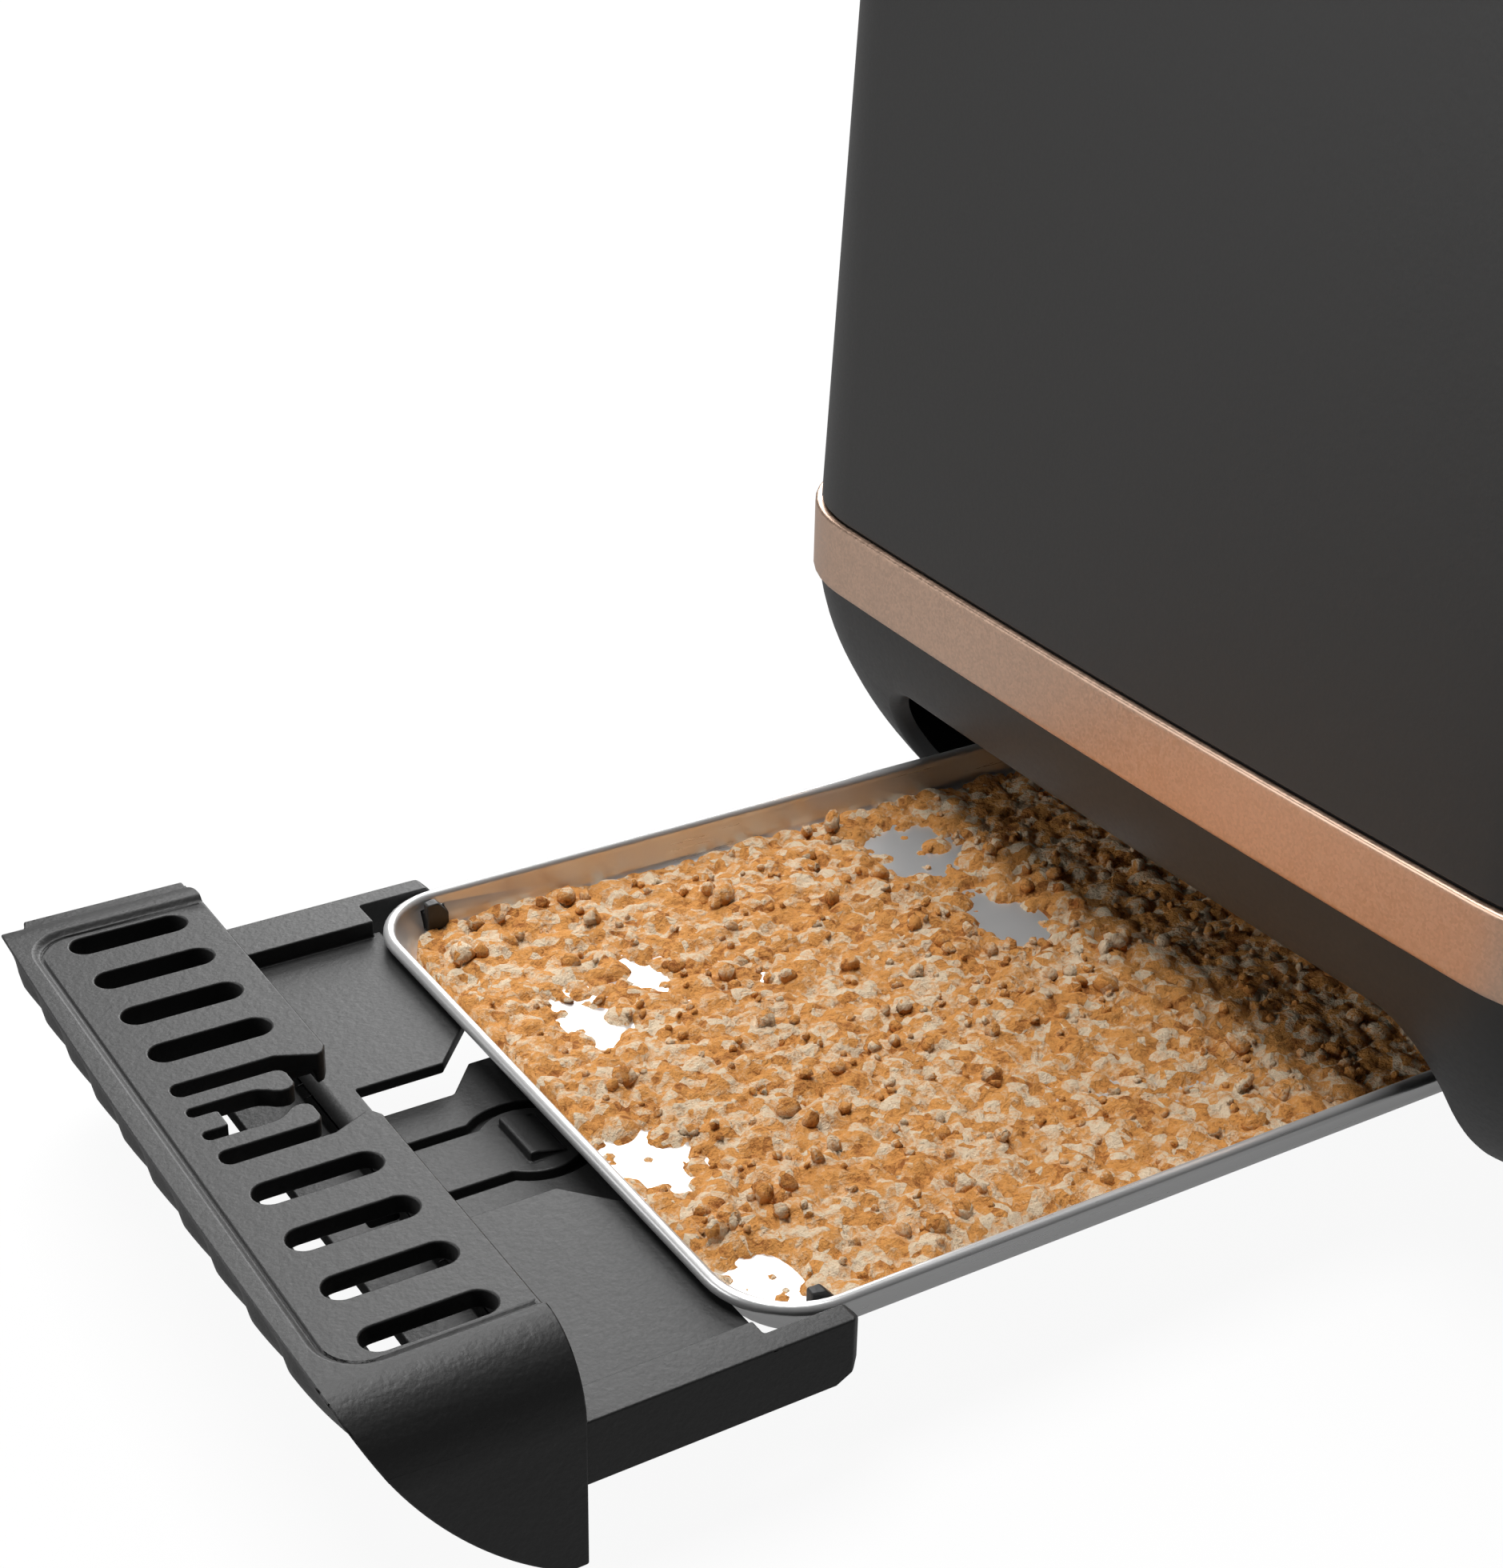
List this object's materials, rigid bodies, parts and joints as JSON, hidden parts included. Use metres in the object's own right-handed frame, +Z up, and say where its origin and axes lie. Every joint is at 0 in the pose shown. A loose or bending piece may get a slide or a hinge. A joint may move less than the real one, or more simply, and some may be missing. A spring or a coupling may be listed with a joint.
{
  "type": "pop up toaster",
  "caption": "Black pop-up toaster with rose gold trim, bread lift lever, browning dial, push buttons and a drawn-out crumb tray.",
  "frame": {"origin": "on the table under the middle of the overall box, in the plane halfway between the two bread slots", "axes": "+Z up; +X along the housing towards the lever and dial end, so the crumb tray draws out towards -X; +Y to the left seen from the crumb tray end looking along +X"},
  "size_m": [0.4408, 0.1898, 0.19],
  "materials": {
    "black_paint": "matt black paint with a fine grain",
    "black_plastic": "satin",
    "tray_plastic": "fine grained",
    "rose_gold": "satin metallic",
    "polished_steel": "polished stainless steel",
    "plain_steel": "mill finish",
    "mica_board": "flaky mineral sheet",
    "heating_wire": "oxidised ribbon",
    "foot_rubber": "matt",
    "circuit_board": "lacquered",
    "copper_winding": "enamelled"
  },
  "bodies": {
    "housing": {"outer_shell": "black_paint", "trim_band": "rose_gold", "base_shell": "black_plastic", "top_bezel": "black_plastic", "slot_trim_right": "rose_gold", "slot_trim_left": "rose_gold", "base_plate": "plain_steel", "foot_1": "foot_rubber", "foot_2": "foot_rubber", "foot_3": "foot_rubber", "foot_4": "foot_rubber", "base_screw_1": "plain_steel", "base_screw_2": "plain_steel", "base_screw_3": "plain_steel", "base_screw_4": "plain_steel", "cord_gland": "black_plastic", "chassis_front": "plain_steel", "chassis_rear": "plain_steel", "heat_shield_right": "plain_steel", "heat_shield_left": "plain_steel", "heater_board_1": "mica_board", "heater_board_2": "mica_board", "heater_board_3": "mica_board", "heater_board_4": "mica_board", "heater_element_1": "heating_wire", "heater_element_2": "heating_wire", "heater_element_3": "heating_wire", "heater_element_4": "heating_wire", "tray_runner_right": "black_plastic", "tray_runner_left": "black_plastic", "guide_rod": "polished_steel", "lift_spring": "plain_steel", "hold_magnet": "copper_winding", "control_board": "circuit_board", "browning_control": "black_plastic", "dial_ring": "rose_gold"},
    "carriage": {"carriage_bracket": "plain_steel", "bread_rack_right": "plain_steel", "bread_rack_left": "plain_steel", "armature_plate": "plain_steel", "lever_knob": "black_plastic"},
    "guide_1": {"bread_guide_1": "polished_steel"},
    "guide_2": {"bread_guide_2": "polished_steel"},
    "guide_3": {"bread_guide_3": "polished_steel"},
    "guide_4": {"bread_guide_4": "polished_steel"},
    "dial": {"browning_dial": "black_plastic"},
    "cancel_button": {"cancel_button": "black_plastic"},
    "defrost_button": {"defrost_button": "black_plastic"},
    "reheat_button": {"reheat_button": "black_plastic"},
    "tray": {"crumb_pan": "polished_steel", "tray_frame": "tray_plastic", "tray_front": "tray_plastic"}
  },
  "joints": [
    {"name": "carriage_lift", "type": "slide", "parent": "housing", "child": "carriage", "axis": [0, 0, -1], "range_m": [0, 0.075], "stiffness_N_per_m": 40, "springref_m": -0.1, "deforming": ["lift_spring"]},
    {"name": "guide_1_slide", "type": "slide", "parent": "housing", "child": "guide_1", "axis": [0, 1, 0], "range_m": [0, 0.008]},
    {"name": "guide_2_slide", "type": "slide", "parent": "housing", "child": "guide_2", "axis": [0, -1, 0], "range_m": [0, 0.008]},
    {"name": "guide_3_slide", "type": "slide", "parent": "housing", "child": "guide_3", "axis": [0, 1, 0], "range_m": [0, 0.008]},
    {"name": "guide_4_slide", "type": "slide", "parent": "housing", "child": "guide_4", "axis": [0, -1, 0], "range_m": [0, 0.008]},
    {"name": "browning_turn", "type": "hinge", "parent": "housing", "child": "dial", "pos_m": [0.20034, 0.046, 0.096], "axis": [0.9992, 0.0232, 0.0331], "range_deg": [-135, 135]},
    {"name": "cancel_press", "type": "slide", "parent": "housing", "child": "cancel_button", "axis": [-0.9992, 0.0232, -0.0331], "range_m": [0, 0.002], "stiffness_N_per_m": 300, "springref_m": -0.001},
    {"name": "defrost_press", "type": "slide", "parent": "housing", "child": "defrost_button", "axis": [-0.9992, 0.0232, -0.0331], "range_m": [0, 0.002], "stiffness_N_per_m": 300, "springref_m": -0.001},
    {"name": "reheat_press", "type": "slide", "parent": "housing", "child": "reheat_button", "axis": [-0.9992, 0.0232, -0.0331], "range_m": [0, 0.002], "stiffness_N_per_m": 300, "springref_m": -0.001},
    {"name": "crumb_tray_slide", "type": "slide", "parent": "housing", "child": "tray", "axis": [-1, 0, 0], "range_m": [-0.145, 0.11]}
  ],
  "couplings": [
    {"joint": "guide_1_slide", "follows": "carriage_lift", "ratio": 0.1066},
    {"joint": "guide_2_slide", "follows": "carriage_lift", "ratio": 0.1066},
    {"joint": "guide_3_slide", "follows": "carriage_lift", "ratio": 0.1066},
    {"joint": "guide_4_slide", "follows": "carriage_lift", "ratio": 0.1066}
  ]
}
